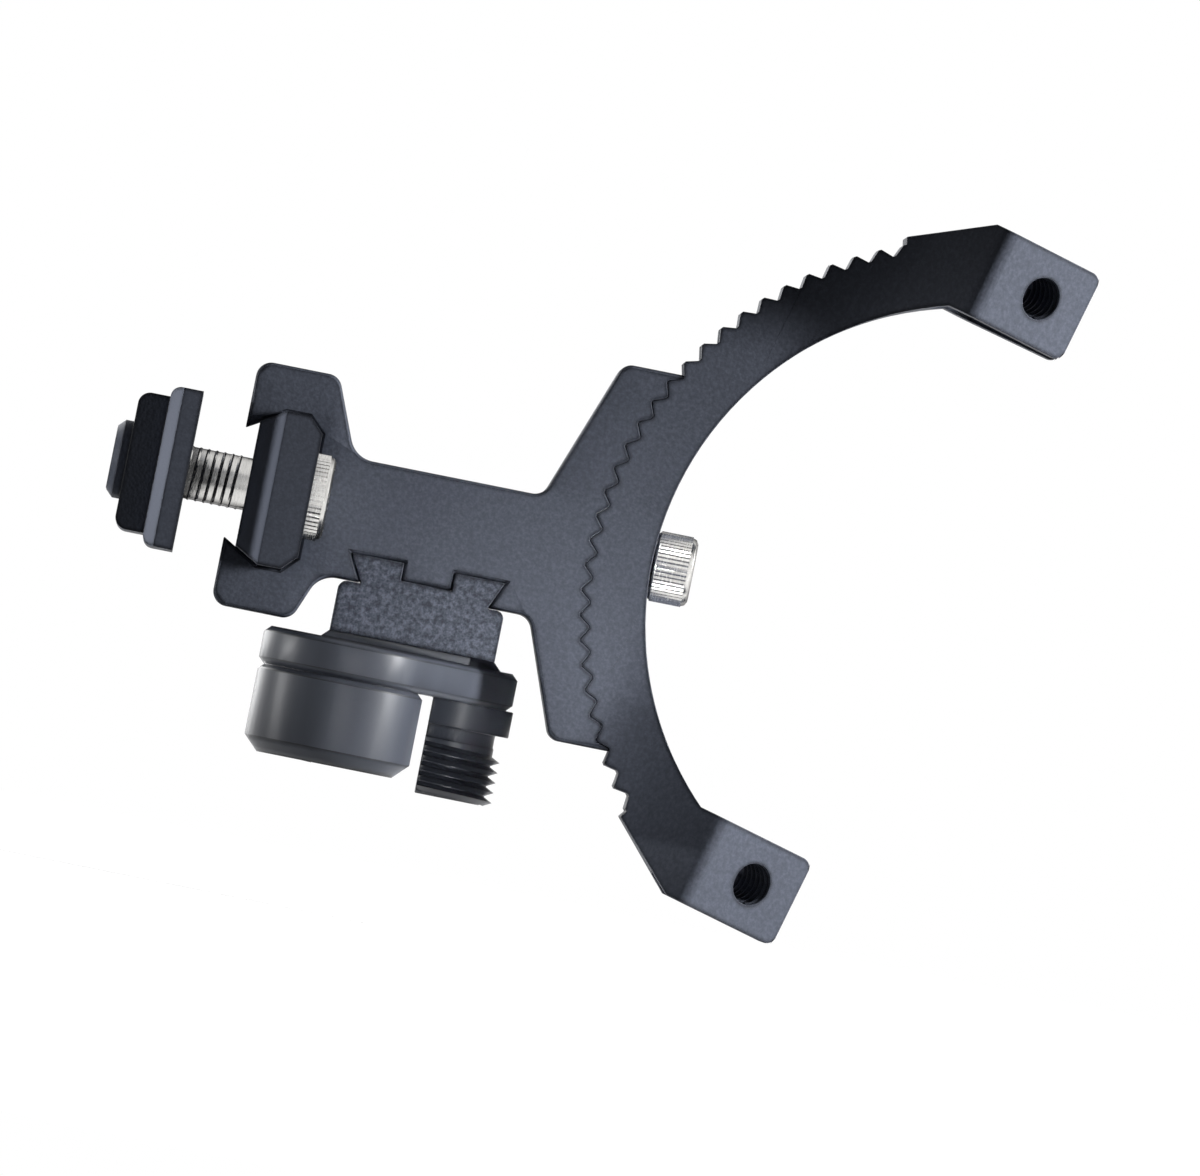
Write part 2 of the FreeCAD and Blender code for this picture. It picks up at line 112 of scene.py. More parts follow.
# Threads and bolts. A thread's depth and half width are shares of its pitch.
THREAD_STEPS = 40
THREAD_HALF_WIDTH = 0.44
HOLE_THREAD_DEPTH = 0.2
HOLE_THREAD_MARGIN_MM = 0.8
BOLT_THREAD_DEPTH = 0.24
BOLT_THREAD_SINK = 0.1 * MILLI
BOLT_THREAD_LENGTH = 12.0 * MILLI
BOLT_SIDES = 72
BOLT_LEAD = 0.35 * MILLI
BOLT_NECK = 0.2 * MILLI
KEY_LEAD = 0.25 * MILLI
KNURL_FILL = 0.92

# Floor and world.
FLOOR_HALF_WIDTH = 2.5
FLOOR_CLEARANCE = 0.5 * MILLI
FLOOR_PALE = (0.70, 0.70, 0.70, 1.0)
FLOOR_PALER = (0.73, 0.73, 0.73, 1.0)
FLOOR_BOUNCE = (0.2, 0.2, 0.2, 1.0)
FLOOR_GLOW_NEAR = 0.58
FLOOR_GLOW_REACH = 0.24
WORLD_LIGHT = 0.02
WHITE = (1.0, 1.0, 1.0, 1.0)

# Camera. The frame's centre is measured from the middle of the mount.
CAMERA_PLACE = Vector((0.0, -4.0, -0.025))
CAMERA_ROLL = math.radians(11.3)
CAMERA_SENSOR = 36.0
CAMERA_SIGHT_LIMIT = 20.0
FRAME_CENTRE = Vector((0.0038, 0.0, -0.0057))
FRAME_WIDTH = 0.118


class MountSizes(bpy.types.PropertyGroup):
    """Sizes of the visible detail, in metres."""

    edge_break: bpy.props.FloatProperty(
        name="Edge break", description="Width of the rounded shading at the clamp's edges",
        default=0.00022, min=0.0, unit="LENGTH")
    tooth_break: bpy.props.FloatProperty(
        name="Tooth break", description="Width of the broken edge on the other black pieces",
        default=0.0001, min=0.0, unit="LENGTH")
    knurl_count: bpy.props.IntProperty(
        name="Knurl ridges", description="Ridges round a bolt head", default=52, min=8)
    knurl_height: bpy.props.FloatProperty(
        name="Knurl height", description="How far a ridge stands out of a bolt head",
        default=0.00012, min=0.0, unit="LENGTH")
    clamp_bolt_pitch: bpy.props.FloatProperty(
        name="Clamp bolt pitch", description="Thread pitch of the clamp bolts",
        default=0.0008, min=0.0001, unit="LENGTH")
    angle_bolt_pitch: bpy.props.FloatProperty(
        name="Angle bolt pitch", description="Thread pitch of the angle bolt",
        default=0.0007, min=0.0001, unit="LENGTH")
    spigot_pitch: bpy.props.FloatProperty(
        name="Spigot pitch",
        description="Thread pitch of the inflator spigot and the cartridge sockets",
        default=0.001, min=0.0001, unit="LENGTH")
    spigot_thread_depth: bpy.props.FloatProperty(
        name="Spigot thread depth",
        description="How far the thread stands out of the spigot's core",
        default=0.00085, min=0.0, unit="LENGTH")
    cage_pitch: bpy.props.FloatProperty(
        name="Cage hole pitch", description="Thread pitch of the four cage holes",
        default=0.0008, min=0.0001, unit="LENGTH")


class MountColours(bpy.types.PropertyGroup):
    """Base colours of the finishes."""

    anodised: bpy.props.FloatVectorProperty(
        name="Anodised black", description="Blasted and anodised metal", subtype="COLOR",
        size=4, default=(0.073, 0.081, 0.104, 1.0), min=0.0, max=1.0)
    moulded: bpy.props.FloatVectorProperty(
        name="Moulded black", description="Moulded plastic of the cartridge holder",
        subtype="COLOR", size=4, default=(0.043, 0.048, 0.061, 1.0), min=0.0, max=1.0)
    stainless: bpy.props.FloatVectorProperty(
        name="Stainless", description="Bright stainless bolts", subtype="COLOR",
        size=4, default=(0.66, 0.65, 0.63, 1.0), min=0.0, max=1.0)


class Shader:
    """A small helper that builds one material's node tree."""

    def __init__(self, name):
        self.material = bpy.data.materials.new(name)
        self.material.use_nodes = True
        self.tree = self.material.node_tree
        self.surface = self.tree.nodes["Principled BSDF"]
        self.coords = self.tree.nodes.new("ShaderNodeTexCoord").outputs["Object"]

    def link(self, output, socket):
        self.tree.links.new(output, socket)

    def noise(self, scale, detail=3.0, stretch=None, roughness=0.55):
        """Noise on the object's coordinates; a stretch under 1 draws it out along that axis."""
        node = self.tree.nodes.new("ShaderNodeTexNoise")
        node.inputs["Scale"].default_value = scale
        node.inputs["Detail"].default_value = detail
        node.inputs["Roughness"].default_value = roughness
        source = self.coords
        if stretch:
            mapping = self.tree.nodes.new("ShaderNodeMapping")
            mapping.inputs["Scale"].default_value = stretch
            self.link(source, mapping.inputs["Vector"])
            source = mapping.outputs["Vector"]
        self.link(source, node.inputs["Vector"])
        return node.outputs["Fac"]

    def grain(self, scale):
        """Cells of a blasted surface."""
        node = self.tree.nodes.new("ShaderNodeTexVoronoi")
        node.inputs["Scale"].default_value = scale
        self.link(self.coords, node.inputs["Vector"])
        return node.outputs["Distance"]

    def ramp(self, fac, stops):
        """A colour ramp with (position, colour) stops."""
        node = self.tree.nodes.new("ShaderNodeValToRGB")
        elements = node.color_ramp.elements
        while len(elements) < len(stops):
            elements.new(0.5)
        for element, (position, colour) in zip(elements, stops):
            element.position = position
            element.color = colour
        self.link(fac, node.inputs["Fac"])
        return node.outputs["Color"]

    def spread(self, fac, low, high, top=1.0):
        """Maps 0..top to low..high."""
        node = self.tree.nodes.new("ShaderNodeMapRange")
        node.inputs["From Max"].default_value = top
        node.inputs["To Min"].default_value = low
        node.inputs["To Max"].default_value = high
        self.link(fac, node.inputs["Value"])
        return node.outputs["Result"]

    def mix(self, fac, first, second):
        """A blend of two colours, each given as a value or a socket."""
        node = self.tree.nodes.new("ShaderNodeMix")
        node.data_type = "RGBA"
        self.link(fac, node.inputs[0])
        for value, socket in ((first, node.inputs[6]), (second, node.inputs[7])):
            if isinstance(value, bpy.types.NodeSocket):
                self.link(value, socket)
            else:
                socket.default_value = value
        return node.outputs[2]

    def edge_shade_mask(self, radius):
        """1 on sharp edges, 0 on faces: where painted shade darkens the edges."""
        geometry = self.tree.nodes.new("ShaderNodeNewGeometry")
        dot = self.tree.nodes.new("ShaderNodeVectorMath")
        dot.operation = "DOT_PRODUCT"
        self.link(self.rounded(radius), dot.inputs[0])
        self.link(geometry.outputs["True Normal"], dot.inputs[1])
        span = self.tree.nodes.new("ShaderNodeMapRange")
        span.inputs["From Min"].default_value = FACE_ALIGNMENT
        span.inputs["From Max"].default_value = EDGE_ALIGNMENT
        self.link(dot.outputs["Value"], span.inputs["Value"])
        return span.outputs["Result"]

    def parts(self, vector):
        """X, Y and Z of a vector, by name."""
        node = self.tree.nodes.new("ShaderNodeSeparateXYZ")
        self.link(vector, node.inputs["Vector"])
        return node.outputs

    def math(self, operation, first, second=0.0):
        """One sum, each side given as a value or a socket."""
        node = self.tree.nodes.new("ShaderNodeMath")
        node.operation = operation
        for value, socket in ((first, node.inputs[0]), (second, node.inputs[1])):
            if isinstance(value, bpy.types.NodeSocket):
                self.link(value, socket)
            else:
                socket.default_value = value
        return node.outputs[0]

    def end_chamfer_highlight_mask(self, reach):
        """1 on the clamp's end chamfers, where a painted highlight goes: beyond reach along Y,
        leaning forward and to a side.
        """
        geometry = self.tree.nodes.new("ShaderNodeNewGeometry")
        normal = self.parts(geometry.outputs["True Normal"])
        sideways = self.math("ABSOLUTE", normal["Y"])
        leaning = self.math(
            "MULTIPLY", self.math("LESS_THAN", normal["X"], CHAMFER_FORWARD),
            self.math("GREATER_THAN", sideways, CHAMFER_SIDEWAYS))
        distance = self.math("ABSOLUTE", self.parts(self.coords)["Y"])
        return self.math("MULTIPLY", leaning, self.math("GREATER_THAN", distance, reach))

    def rounded(self, radius):
        """The surface's normal with its edges turned over."""
        node = self.tree.nodes.new("ShaderNodeBevel")
        node.samples = BEVEL_NODE_SAMPLES
        node.inputs["Radius"].default_value = radius
        return node.outputs["Normal"]

    def bump(self, height, strength, distance, normal=None):
        """Relief on the surface, on top of a given normal if there is one."""
        node = self.tree.nodes.new("ShaderNodeBump")
        if normal:
            self.link(normal, node.inputs["Normal"])
        node.inputs["Strength"].default_value = strength
        node.inputs["Distance"].default_value = distance
        self.link(height, node.inputs["Height"])
        self.link(node.outputs["Normal"], self.surface.inputs["Normal"])


def tinted(colour, factor):
    """A colour times a factor, opaque."""
    return (colour[0] * factor, colour[1] * factor, colour[2] * factor, 1.0)


def anodised(name, colour, grain_size, speckle, painted_chamfer_highlight=1.0, edge_break=0.0):
    """Blasted black anodising: cells, speckle, painted edge shade, painted chamfer highlight if
    asked.
    """
    shader = Shader(name)
    surface = shader.surface
    cells = shader.grain(1.0 / grain_size)
    cloud = shader.noise(scale=140.0, detail=4.0)
    dark = tinted(colour, 1.0 - speckle)
    light = tinted(colour, 1.0 + 1.6 * speckle)
    fine = shader.noise(scale=0.8 / grain_size, detail=2.0, roughness=0.7)
    base = shader.ramp(fine, ((0.34, dark), (0.5, colour), (0.68, light)))
    patchy = shader.mix(shader.spread(cloud, low=0.0, high=0.25), base, tinted(colour, 0.8))
    # Painted highlight: the clamp's end chamfers are made paler than the black around them.
    if painted_chamfer_highlight > 1.0:
        painted_highlight = shader.end_chamfer_highlight_mask(CHAMFER_REACH)
        patchy = shader.mix(painted_highlight, patchy, tinted(colour, painted_chamfer_highlight))
    # Painted shade: the colour darkens along every sharp edge, standing for the shadow in the
    # gaps between parts.
    edge = shader.edge_shade_mask(METAL_EDGE_WIDTH)
    edge_shaded = shader.mix(edge, patchy, tinted(colour, METAL_EDGE_PAINTED_SHADE))
    shader.link(edge_shaded, surface.inputs["Base Color"])
    shader.link(shader.spread(cloud, low=0.46, high=0.6), surface.inputs["Roughness"])
    surface.inputs["Specular IOR Level"].default_value = 0.05
    normal = shader.rounded(edge_break) if edge_break > 0.0 else None
    shader.bump(cells, strength=0.35, distance=0.12 * grain_size, normal=normal)
    return shader.material


def moulded(name, colour):
    """Satin black plastic with faint flow marks, a fine texture and painted edge shade."""
    shader = Shader(name)
    surface = shader.surface
    flow = shader.noise(scale=90.0, detail=3.0, stretch=(1.0, 1.0, 0.25))
    base = shader.ramp(flow, ((0.3, tinted(colour, 0.75)), (0.7, tinted(colour, 1.35))))
    # Painted shade: the colour darkens along every sharp edge of the moulding, standing for
    # shadow in its gaps.
    edge = shader.edge_shade_mask(MOULDED_EDGE_WIDTH)
    edge_shaded = shader.mix(edge, base, tinted(colour, MOULDED_EDGE_PAINTED_SHADE))
    shader.link(edge_shaded, surface.inputs["Base Color"])
    shader.link(shader.spread(flow, low=0.34, high=0.46), surface.inputs["Roughness"])
    surface.inputs["Specular IOR Level"].default_value = 0.2
    texture = shader.noise(scale=4200.0, detail=2.0)
    shader.bump(texture, strength=0.12, distance=0.02 * MILLI)
    return shader.material


def stainless(name, colour):
    """Bare steel with turning marks across the bolt's axis."""
    shader = Shader(name)
    surface = shader.surface
    turning = shader.noise(scale=900.0, detail=2.0, stretch=(9.0, 1.0, 1.0))
    base = shader.ramp(turning, ((0.25, tinted(colour, 0.8)), (0.75, tinted(colour, 1.12))))
    shader.link(base, surface.inputs["Base Color"])
    surface.inputs["Metallic"].default_value = 1.0
    surface.inputs["Specular Tint"].default_value = (0.04, 0.04, 0.05, 1.0)
    shader.link(shader.spread(turning, low=0.16, high=0.34), surface.inputs["Roughness"])
    shader.bump(turning, strength=0.1, distance=0.02 * MILLI)
    return shader.material


FINISHES = {}


def finish_of(name):
    """The scene's materials, made once from the panel's colours."""
    if name not in FINISHES:
        colours = bpy.context.scene.mount_colours
        black = tuple(colours.anodised)
        if name == "body_metal":
            FINISHES[name] = anodised(
                "body_metal_finish", black, grain_size=0.36 * MILLI, speckle=0.14)
        elif name == "bracket_metal":
            FINISHES[name] = anodised(
                "bracket_metal_finish", black, grain_size=0.36 * MILLI, speckle=0.14)
        elif name == "clamp_metal":
            # The clamp's finish paints a highlight on its end chamfers.
            FINISHES[name] = anodised(
                "clamp_metal_finish", tinted(black, 0.9), grain_size=0.3 * MILLI, speckle=0.1,
                painted_chamfer_highlight=CHAMFER_PAINTED_HIGHLIGHT,
                edge_break=bpy.context.scene.mount_sizes.edge_break)
        elif name == "shoe_metal":
            FINISHES[name] = anodised(
                "shoe_metal_finish", tinted(black, 0.95), grain_size=0.34 * MILLI, speckle=0.45)
        elif name == "holder_plastic":
            FINISHES[name] = moulded("holder_plastic_finish", tuple(colours.moulded))
        elif name == "stainless":
            FINISHES[name] = stainless("stainless_finish", tuple(colours.stainless))
        elif name == "dark_screw":
            FINISHES[name] = stainless("dark_screw_finish", DARK_SCREW)
        else:
            raise KeyError("no finish is named " + name)
    return FINISHES[name]


def add_piece(name, mesh, body, slot):
    """A finished mesh as a piece that rides on a body."""
    piece = bpy.data.objects.new(name, mesh)
    bpy.context.scene.collection.objects.link(piece)
    mesh.materials.clear()
    mesh.materials.append(finish_of(slot))
    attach(piece, body)
    return piece


def flat_areas(shape):
    """For each face, the number of the flat it lies in, and the area of each flat."""
    flats, areas = {}, []
    for face in shape.faces:
        if face in flats:
            continue
        flats[face] = len(areas)
        waiting, area = [face], 0.0
        while waiting:
            current = waiting.pop()
            area += current.calc_area()
            for edge in current.edges:
                for other in edge.link_faces:
                    if other not in flats and other.normal.dot(face.normal) > SAME_FLAT:
                        flats[other] = len(areas)
                        waiting.append(other)
        areas.append(area)
    return flats, areas


def keep_flats_flat(mesh):
    """Corner normals that follow the widest flat there and blend only across slight bends."""
    shape = bmesh.new()
    shape.from_mesh(mesh)
    flats, areas = flat_areas(shape)
    normals = []
    for face in shape.faces:
        for corner in face.loops:
            near = {}
            for other in corner.vert.link_faces:
                if other.normal.dot(face.normal) > SLIGHT_BEND:
                    near[flats[other]] = other.normal
            total = Vector()
            for flat, normal in near.items():
                total += normal * areas[flat]
            normals.append(total.normalized())
    shape.free()
    mesh.normals_split_custom_set(normals)


def dressed_copy(name, node, body, slot, edge_break, evenness=EVEN_FACES):
    """A piece that stands for a node: its shape, with the edges broken unless the break is 0."""
    mesh = bpy.data.meshes.new(name)
    shape = bmesh.new()
    shape.from_mesh(frame["nodes"][node].data)
    bmesh.ops.remove_doubles(shape, verts=shape.verts, dist=WELD_DISTANCE)
    shape.to_mesh(mesh)
    shape.free()
    mesh.shade_smooth()
    mesh.set_sharp_from_angle(angle=SHARP_ANGLE)
    piece = add_piece(name, mesh, body, slot)
    if edge_break > 0.0:
        bevel = piece.modifiers.new("edge_break", "BEVEL")
        bevel.width = edge_break
        bevel.segments = BEVEL_SEGMENTS
        bevel.limit_method = "ANGLE"
        bevel.angle_limit = BEVEL_ANGLE
        bevel.use_clamp_overlap = False
        even = piece.modifiers.new("even_faces", "WEIGHTED_NORMAL")
        even.mode = "FACE_AREA"
        even.weight = evenness
        even.keep_sharp = True
    else:
        keep_flats_flat(mesh)
    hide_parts(node)


def node_group(name, inputs):
    """An empty Geometry Nodes tree with named inputs and one geometry output."""
    tree = bpy.data.node_groups.new(name, "GeometryNodeTree")
    identifiers = {}
    for label, kind in inputs:
        socket = tree.interface.new_socket(label, in_out="INPUT", socket_type=kind)
        identifiers[label] = socket.identifier
    tree.interface.new_socket("Geometry", in_out="OUTPUT", socket_type="NodeSocketGeometry")
    return tree, identifiers


def grown(tree, identifiers, values):
    """The tree's result with these inputs, as a plain mesh."""
    holder = bpy.data.objects.new("grow", bpy.data.meshes.new("grow"))
    bpy.context.scene.collection.objects.link(holder)
    modifier = holder.modifiers.new("grow", "NODES")
    modifier.node_group = tree
    for label, value in values.items():
        modifier[identifiers[label]] = value
    holder.update_tag()
    bpy.context.view_layer.update()
    depsgraph = bpy.context.evaluated_depsgraph_get()
    mesh = bpy.data.meshes.new_from_object(holder.evaluated_get(depsgraph))
    bpy.data.objects.remove(holder)
    return mesh


def screw_thread_tree():
    """A ridge that climbs round a cylinder along +Z."""
    tree, identifiers = node_group("screw_thread", (
        ("Radius", "NodeSocketFloat"), ("Pitch", "NodeSocketFloat"),
        ("Turns", "NodeSocketFloat"), ("Depth", "NodeSocketFloat"),
        ("Steps", "NodeSocketInt"), ("Finish", "NodeSocketMaterial")))
    nodes, links = tree.nodes, tree.links
    given = nodes.new("NodeGroupInput")
    spiral = nodes.new("GeometryNodeCurveSpiral")
    links.new(given.outputs["Steps"], spiral.inputs["Resolution"])
    links.new(given.outputs["Turns"], spiral.inputs["Rotations"])
    links.new(given.outputs["Radius"], spiral.inputs["Start Radius"])
    links.new(given.outputs["Radius"], spiral.inputs["End Radius"])
    height = nodes.new("ShaderNodeMath")
    height.operation = "MULTIPLY"
    links.new(given.outputs["Pitch"], height.inputs[0])
    links.new(given.outputs["Turns"], height.inputs[1])
    links.new(height.outputs[0], spiral.inputs["Height"])
    upright = nodes.new("GeometryNodeSetCurveNormal")
    upright.mode = "Z_UP"
    links.new(spiral.outputs["Curve"], upright.inputs["Curve"])
    ridge = nodes.new("GeometryNodeCurvePrimitiveCircle")
    ridge.inputs["Resolution"].default_value = 4
    ridge.inputs["Radius"].default_value = 1.0
    shape = nodes.new("GeometryNodeTransform")
    squeeze = nodes.new("ShaderNodeCombineXYZ")
    half_width = nodes.new("ShaderNodeMath")
    half_width.operation = "MULTIPLY"
    half_width.inputs[1].default_value = THREAD_HALF_WIDTH
    links.new(given.outputs["Pitch"], half_width.inputs[0])
    links.new(given.outputs["Depth"], squeeze.inputs["X"])
    links.new(half_width.outputs[0], squeeze.inputs["Y"])
    squeeze.inputs["Z"].default_value = 1.0
    links.new(ridge.outputs["Curve"], shape.inputs["Geometry"])
    links.new(squeeze.outputs["Vector"], shape.inputs["Scale"])
    sweep = nodes.new("GeometryNodeCurveToMesh")
    sweep.inputs["Fill Caps"].default_value = True
    links.new(upright.outputs["Curve"], sweep.inputs["Curve"])
    links.new(shape.outputs["Geometry"], sweep.inputs["Profile Curve"])
    realize = nodes.new("GeometryNodeRealizeInstances")
    links.new(sweep.outputs["Mesh"], realize.inputs["Geometry"])
    paint = nodes.new("GeometryNodeSetMaterial")
    links.new(realize.outputs["Geometry"], paint.inputs["Geometry"])
    links.new(given.outputs["Finish"], paint.inputs["Material"])
    result = nodes.new("NodeGroupOutput")
    links.new(paint.outputs["Geometry"], result.inputs["Geometry"])
    return tree, identifiers


def knurl_tree():
    """Straight ridges round a cylinder, along +Z."""
    tree, identifiers = node_group("knurl", (
        ("Radius", "NodeSocketFloat"), ("Length", "NodeSocketFloat"),
        ("Height", "NodeSocketFloat"), ("Count", "NodeSocketInt"),
        ("Finish", "NodeSocketMaterial")))
    nodes, links = tree.nodes, tree.links
    given = nodes.new("NodeGroupInput")
    ring = nodes.new("GeometryNodeMeshCircle")
    links.new(given.outputs["Count"], ring.inputs["Vertices"])
    links.new(given.outputs["Radius"], ring.inputs["Radius"])
    ridge = nodes.new("GeometryNodeMeshCylinder")
    ridge.inputs["Vertices"].default_value = 4
    ridge.inputs["Radius"].default_value = 1.0
    ridge.inputs["Depth"].default_value = 1.0
    width = nodes.new("ShaderNodeMath")
    width.operation = "DIVIDE"
    links.new(given.outputs["Radius"], width.inputs[0])
    links.new(given.outputs["Count"], width.inputs[1])
    widen = nodes.new("ShaderNodeMath")
    widen.operation = "MULTIPLY"
    widen.inputs[1].default_value = math.pi * KNURL_FILL
    links.new(width.outputs[0], widen.inputs[0])
    size = nodes.new("ShaderNodeCombineXYZ")
    links.new(given.outputs["Height"], size.inputs["X"])
    links.new(widen.outputs[0], size.inputs["Y"])
    links.new(given.outputs["Length"], size.inputs["Z"])
    instance = nodes.new("GeometryNodeInstanceOnPoints")
    links.new(ring.outputs["Mesh"], instance.inputs["Points"])
    links.new(ridge.outputs["Mesh"], instance.inputs["Instance"])
    links.new(size.outputs["Vector"], instance.inputs["Scale"])
    position = nodes.new("GeometryNodeInputPosition")
    align = nodes.new("FunctionNodeAlignEulerToVector")
    align.axis = "X"
    align.pivot_axis = "Z"
    links.new(position.outputs["Position"], align.inputs["Vector"])
    links.new(align.outputs["Rotation"], instance.inputs["Rotation"])
    realize = nodes.new("GeometryNodeRealizeInstances")
    links.new(instance.outputs["Instances"], realize.inputs["Geometry"])
    paint = nodes.new("GeometryNodeSetMaterial")
    links.new(realize.outputs["Geometry"], paint.inputs["Geometry"])
    links.new(given.outputs["Finish"], paint.inputs["Material"])
    result = nodes.new("NodeGroupOutput")
    links.new(paint.outputs["Geometry"], result.inputs["Geometry"])
    return tree, identifiers


def stacked_rings(shape, rings, count):
    """A closed skin over rings of points; a ring is (radius for an angle, height)."""
    loops = []
    for radius_at, height in rings:
        loop = []
        for index in range(count):
            turn = 2 * math.pi * index / count
            radius = radius_at(turn)
            place = (radius * math.cos(turn), radius * math.sin(turn), height)
            loop.append(shape.verts.new(place))
        loops.append(loop)
    for low, high in zip(loops, loops[1:]):
        for index in range(count):
            after = (index + 1) % count
            shape.faces.new((low[index], low[after], high[after], high[index]))
    shape.faces.new(list(reversed(loops[0])))
    shape.faces.new(loops[-1])


def round_ring(radius):
    """A circle as a radius for an angle."""
    return lambda turn: radius


def key_ring(across_flats):
    """A hexagon as a radius for an angle."""
    sixth = math.pi / 3
    return lambda turn: across_flats / 2 / math.cos((turn % sixth) - sixth / 2)


def socket_bolt(name, node, box, axis, head_height, shank_radius, key, key_depth, pitch):
    """A knurled socket head bolt that stands for a node.

    The node's box gives its length and its head, and axis is its place in Y and Z. It is made
    along +Z with its seat at height 0 and then laid along +X.
    """
    sizes = bpy.context.scene.mount_sizes
    low, high = box
    seat = high.x - head_height
    shank_length = seat - low.x
    side = (high.y - low.y) / 2 - sizes.knurl_height
    lead = BOLT_LEAD
    head_foot = 0.6 * lead
    head_crown = 1.4 * lead
    key_mouth = 0.62 * key
    key_cone = 0.2 * key
    shape = bmesh.new()
    stacked_rings(shape, (
        (round_ring(shank_radius - lead), -shank_length),
        (round_ring(shank_radius), -shank_length + lead),
        (round_ring(shank_radius), -lead),
        (round_ring(shank_radius + BOLT_NECK), 0.0),
        (round_ring(side - head_foot), 0.0),
        (round_ring(side), head_foot),
        (round_ring(side), head_height - head_crown),
        (round_ring(side - 0.35 * lead), head_height - 0.6 * lead),
        (round_ring(side - head_crown), head_height),
        (round_ring(key_mouth), head_height),
        (key_ring(key), head_height - KEY_LEAD),
        (key_ring(key), head_height - key_depth),
        (round_ring(key_cone), head_height - key_depth - key_cone),
    ), BOLT_SIDES)
    bmesh.ops.recalc_face_normals(shape, faces=shape.faces)
    mesh = bpy.data.meshes.new(name)
    shape.to_mesh(mesh)
    shape.free()
    ridge_length = head_height - 2.4 * lead
    ridges = grown(*knurl_tree(), {
        "Radius": side, "Length": ridge_length, "Height": sizes.knurl_height,
        "Count": sizes.knurl_count, "Finish": finish_of("stainless")})
    ridges.transform(Matrix.Translation((0, 0, 0.75 * lead + ridge_length / 2)))
    ridge = thread_ridge(
        shank_radius - BOLT_THREAD_SINK, pitch, BOLT_THREAD_LENGTH,
        BOLT_THREAD_DEPTH * pitch, "stainless")
    ridge.transform(Matrix.Translation((0, 0, -shank_length + lead)))
    whole = joined_mesh(name, (mesh, ridges, ridge))
    whole.transform(along_x(seat, *axis))
    bolt = add_piece(name, whole, "frame", "stainless")
    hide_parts(node)


def thread_ridge(radius, pitch, length, depth, slot):
    """A thread's ridge round +Z from height 0."""
    return grown(*screw_thread_tree(), {
        "Radius": radius, "Pitch": pitch, "Turns": length / pitch, "Depth": depth,
        "Steps": THREAD_STEPS, "Finish": finish_of(slot)})


def joined_mesh(name, parts):
    """Meshes as one, with hard edges where they are sharp."""
    shape = bmesh.new()
    for part in parts:
        shape.from_mesh(part)
    whole = bpy.data.meshes.new(name)
    shape.to_mesh(whole)
    shape.free()
    whole.shade_smooth()
    whole.set_sharp_from_angle(angle=SHARP_ANGLE)
    return whole


def hole_threads(name, prefix, pitch, body, slot):
    """The threads in all the threaded holes whose names start alike."""
    ridges = []
    for mount in frame["record"]["mounts"]:
        if mount["name"].startswith(prefix):
            length = (mount["dims"]["length_mm"] - HOLE_THREAD_MARGIN_MM) * MILLI
            radius = mount["dims"]["r_mm"] * MILLI
            ridge = thread_ridge(radius, pitch, length, HOLE_THREAD_DEPTH * pitch, slot)
            turn = Vector(mount["axis"]).to_track_quat("Z", "Y").to_matrix().to_4x4()
            ridge.transform(Matrix.Translation((0, 0, -length / 2)))
            ridge.transform(Matrix.Translation(mount["pos_m"]) @ turn)
            ridges.append(ridge)
    add_piece(name, joined_mesh(name, ridges), body, slot)


def press_flat(mesh, place):
    """Brings what stands in front of a plane square to X back to it."""
    for vertex in mesh.vertices:
        vertex.co.x = max(vertex.co.x, place)


def along_x(x, y, z):
    """Puts a piece that was made along +Z along +X, with its height 0 at x."""
    return Matrix.Translation((x, y, z)) @ Matrix.Rotation(math.pi / 2, 4, "Y")


class MOUNT_OT_body(bpy.types.Operator):
    """Dress the main body with broken edges and blasted anodising"""

    bl_idname = "mount.body"
    bl_label = "Main body"

    def execute(self, context):
        sizes = context.scene.mount_sizes
        dressed_copy("body_dressed", "main_body", "frame", "body_metal", sizes.tooth_break)
        return {"FINISHED"}


class MOUNT_OT_clamp(bpy.types.Operator):
    """Dress the clamp bar and the clamp plate"""

    bl_idname = "mount.clamp"
    bl_label = "Clamp"

    def execute(self, context):
        dressed_copy("bar_dressed", "clamp_bar", "frame", "clamp_metal", edge_break=0.0)
        dressed_copy("plate_dressed", "clamp_plate", "plate", "clamp_metal", edge_break=0.0)
        return {"FINISHED"}


class MOUNT_OT_bolts(bpy.types.Operator):
    """Make the knurled clamp bolts and the angle bolt"""

    bl_idname = "mount.bolts"
    bl_label = "Socket head bolts"

    def execute(self, context):
        sizes = context.scene.mount_sizes
        for side in ("left", "right"):
            node = "clamp_bolt_" + side
            low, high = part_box(node)
            middle = (low + high) / 2
            socket_bolt(
                "bolt_" + side, node, (low, high), (middle.y, middle.z),
                head_height=5.0 * MILLI, shank_radius=2.5 * MILLI,
                key=4.0 * MILLI, key_depth=2.5 * MILLI, pitch=sizes.clamp_bolt_pitch)
        socket_bolt(
            "bolt_angle", "angle_bolt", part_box("angle_bolt"), (0, 0),
            head_height=4.0 * MILLI, shank_radius=2.0 * MILLI,
            key=3.0 * MILLI, key_depth=2.0 * MILLI, pitch=sizes.angle_bolt_pitch)
        return {"FINISHED"}


class MOUNT_OT_bracket(bpy.types.Operator):
    """Dress the toothed cage bracket"""

    bl_idname = "mount.bracket"
    bl_label = "Cage bracket"

    def execute(self, context):
        sizes = context.scene.mount_sizes
        dressed_copy(
            "bracket_dressed", "cage_bracket", "bracket", "bracket_metal", sizes.tooth_break,
            BRACKET_EVEN_FACES)
        hole_threads("cage_threads", "cage_", sizes.cage_pitch, "bracket", "bracket_metal")
        return {"FINISHED"}


